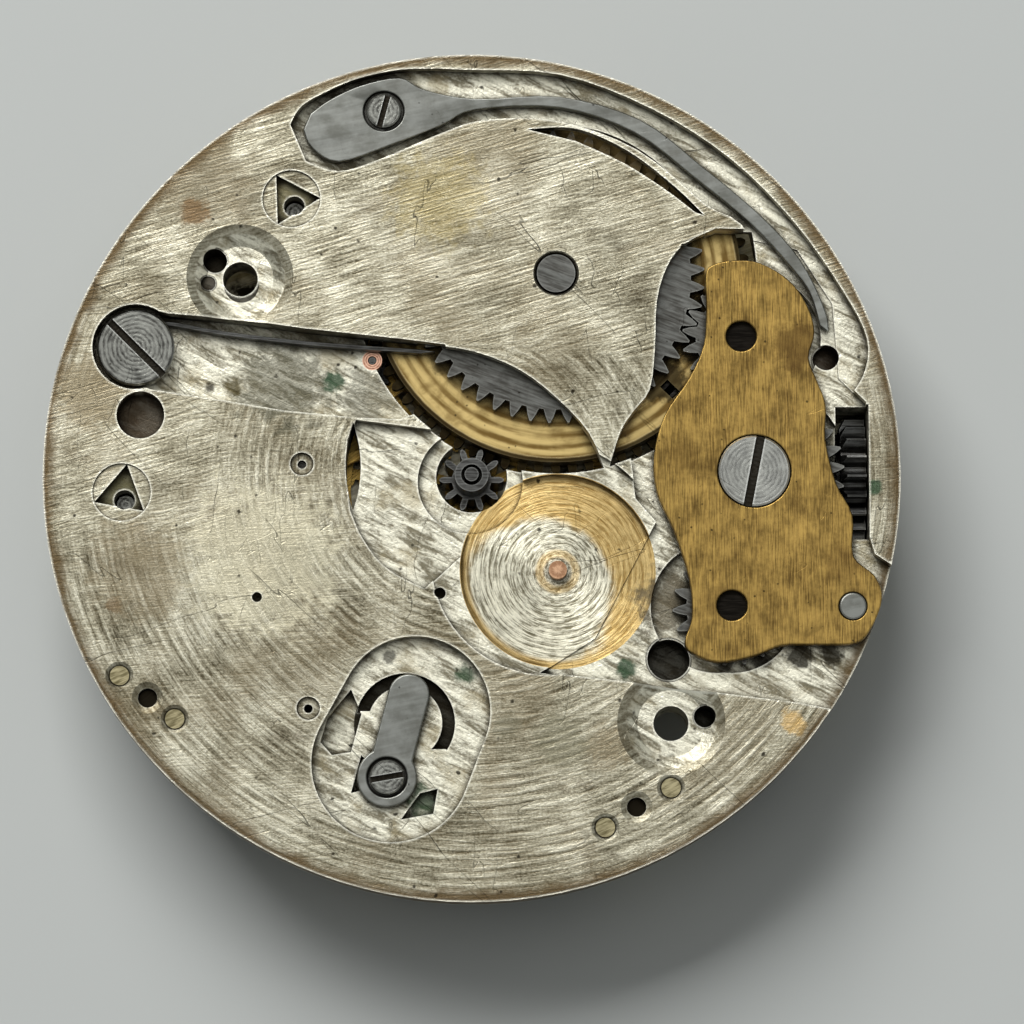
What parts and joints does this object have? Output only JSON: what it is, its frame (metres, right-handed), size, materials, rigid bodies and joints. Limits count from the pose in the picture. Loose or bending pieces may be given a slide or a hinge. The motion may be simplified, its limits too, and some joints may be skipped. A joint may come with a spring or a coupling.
{
  "type": "watch movement",
  "caption": "Round stem-wind mechanical watch movement with rocking-bar winding work, going train, lever escapement and balance, dial side up.",
  "frame": {"origin": "centre of the main plate in plan, at the common underside of the bridges", "axes": "+Z out of the dial side, +X along the stem towards the crown, +Y at right angles to both"},
  "size_m": [0.0293, 0.0292, 0.0049],
  "materials": {
    "nickelled_brass": "nickelled brass, worn, fine turned and filed grain",
    "gilt_brass": "gilt brass, worn satin",
    "train_brass": "satin brass",
    "steel": "brushed steel",
    "dark_steel": "dark hardened steel",
    "blued_steel": "blued spring steel",
    "ruby": "polished synthetic ruby"
  },
  "bodies": {
    "movement": {"main_plate": "nickelled_brass", "minute_wheel_post": "train_brass", "plate_jewels": "ruby", "lower_balance_jewel": "ruby", "lower_end_stone": "ruby", "end_piece": "steel", "end_piece_screw": "steel", "return_spring": "steel", "return_spring_screw": "steel", "rocking_bar_screw": "steel", "click_screw": "steel", "hairspring": "blued_steel", "hairspring_stud": "steel", "barrel_bridge": "nickelled_brass", "train_bridge": "nickelled_brass", "pallet_cock": "nickelled_brass", "balance_cock": "nickelled_brass", "bridge_screws": "steel", "cock_screws": "steel", "steady_pins": "train_brass", "bridge_jewels": "ruby", "upper_balance_jewel": "ruby", "upper_end_stone": "ruby", "cock_cap": "steel", "cap_screws": "steel"},
    "rocking_bar": {"rocking_bar": "gilt_brass", "bar_pin": "steel", "wheel_studs": "dark_steel"},
    "ratchet_drive_wheel": {"ratchet_drive_wheel": "steel"},
    "crown_wheel": {"crown_wheel": "steel"},
    "setting_wheel": {"setting_wheel": "steel"},
    "winding_pinion": {"winding_pinion": "dark_steel"},
    "click": {"click_spring": "dark_steel"},
    "barrel_arbor": {"barrel_arbor": "steel", "ratchet_wheel": "steel"},
    "barrel": {"barrel_drum": "gilt_brass", "barrel_cover": "gilt_brass", "mainspring": "blued_steel"},
    "centre_wheel": {"centre_pinion": "steel", "centre_arbor": "steel", "centre_wheel": "train_brass"},
    "third_wheel": {"third_pinion": "steel", "third_wheel": "train_brass"},
    "fourth_wheel": {"fourth_pinion": "steel", "fourth_wheel": "train_brass"},
    "escape_wheel": {"escape_pinion": "steel", "escape_wheel": "steel"},
    "pallet_fork": {"pallet_fork": "steel", "pallet_stones": "ruby", "pallet_arbor": "steel"},
    "balance": {"balance_wheel": "gilt_brass", "balance_screws": "gilt_brass", "balance_staff": "steel", "roller_table": "steel", "impulse_pin": "ruby", "hairspring_collet": "train_brass"},
    "regulator": {"regulator": "steel", "curb_pins": "train_brass"}
  },
  "joints": [
    {"name": "winding", "type": "hinge", "parent": "movement", "child": "barrel_arbor", "pos_m": [0.0029, 0.00698, 0], "axis": [0, 0, 1], "continuous": true, "deforming": ["mainspring"]},
    {"name": "drive_wheel_spin", "type": "hinge", "parent": "rocking_bar", "child": "ratchet_drive_wheel", "pos_m": [0.00924, 0.0048, 0], "axis": [0, 0, 1], "continuous": true},
    {"name": "crown_wheel_spin", "type": "hinge", "parent": "rocking_bar", "child": "crown_wheel", "pos_m": [0.00966, 0.00012, 0], "axis": [0, 0, 1], "continuous": true},
    {"name": "setting_wheel_spin", "type": "hinge", "parent": "rocking_bar", "child": "setting_wheel", "pos_m": [0.00887, -0.00451, 0], "axis": [0, 0, 1], "continuous": true},
    {"name": "stem_spin", "type": "hinge", "parent": "movement", "child": "winding_pinion", "pos_m": [0, 0.00012, 0.0023], "axis": [1, 0, 0], "continuous": true},
    {"name": "bar_swing", "type": "hinge", "parent": "movement", "child": "rocking_bar", "pos_m": [0.00966, 0.00012, 0], "axis": [0, 0, 1], "range_deg": [-6, 0], "stiffness_Nm_per_rad": 0.0001, "springref_deg": 2.86, "deforming": ["return_spring"]},
    {"name": "click_lift", "type": "hinge", "parent": "movement", "child": "click", "pos_m": [-0.01152, 0.00442, 0], "axis": [0, 0, 1], "range_deg": [-3.5, 0], "stiffness_Nm_per_rad": 0.000002, "springref_deg": 2.86},
    {"name": "third_wheel_spin", "type": "hinge", "parent": "movement", "child": "third_wheel", "pos_m": [-0.00342, 0.00412, 0], "axis": [0, 0, 1], "continuous": true},
    {"name": "centre_wheel_spin", "type": "hinge", "parent": "movement", "child": "centre_wheel", "pos_m": [0, 0, 0], "axis": [0, 0, 1], "continuous": true},
    {"name": "barrel_spin", "type": "hinge", "parent": "movement", "child": "barrel", "pos_m": [0.0029, 0.00698, 0], "axis": [0, 0, 1], "continuous": true},
    {"name": "fourth_wheel_spin", "type": "hinge", "parent": "movement", "child": "fourth_wheel", "pos_m": [-0.0058, 0.00035, 0], "axis": [0, 0, 1], "continuous": true},
    {"name": "escape_wheel_spin", "type": "hinge", "parent": "movement", "child": "escape_wheel", "pos_m": [-0.00643, -0.00389, 0], "axis": [0, 0, 1], "continuous": true},
    {"name": "fork_swing", "type": "hinge", "parent": "movement", "child": "pallet_fork", "pos_m": [-0.00555, -0.00805, 0], "axis": [0, 0, 1], "range_deg": [-5, 5]},
    {"name": "balance_swing", "type": "hinge", "parent": "movement", "child": "balance", "pos_m": [-0.00226, -0.0085, 0], "axis": [0, 0, 1], "range_deg": [-270, 270], "stiffness_Nm_per_rad": 0.00000092, "deforming": ["hairspring"]},
    {"name": "regulator_turn", "type": "hinge", "parent": "movement", "child": "regulator", "pos_m": [-0.00226, -0.0085, 0], "axis": [0, 0, 1], "range_deg": [-25, 25]}
  ],
  "couplings": [
    {"joint": "drive_wheel_spin", "follows": "winding", "ratio": -2.7222},
    {"joint": "crown_wheel_spin", "follows": "winding", "ratio": 1.6897},
    {"joint": "setting_wheel_spin", "follows": "winding", "ratio": -2.7222},
    {"joint": "stem_spin", "follows": "winding", "ratio": -2.45},
    {"joint": "centre_wheel_spin", "follows": "third_wheel_spin", "ratio": -0.125},
    {"joint": "barrel_spin", "follows": "third_wheel_spin", "ratio": 0.017857},
    {"joint": "fourth_wheel_spin", "follows": "third_wheel_spin", "ratio": -7.5},
    {"joint": "escape_wheel_spin", "follows": "third_wheel_spin", "ratio": 75}
  ]
}
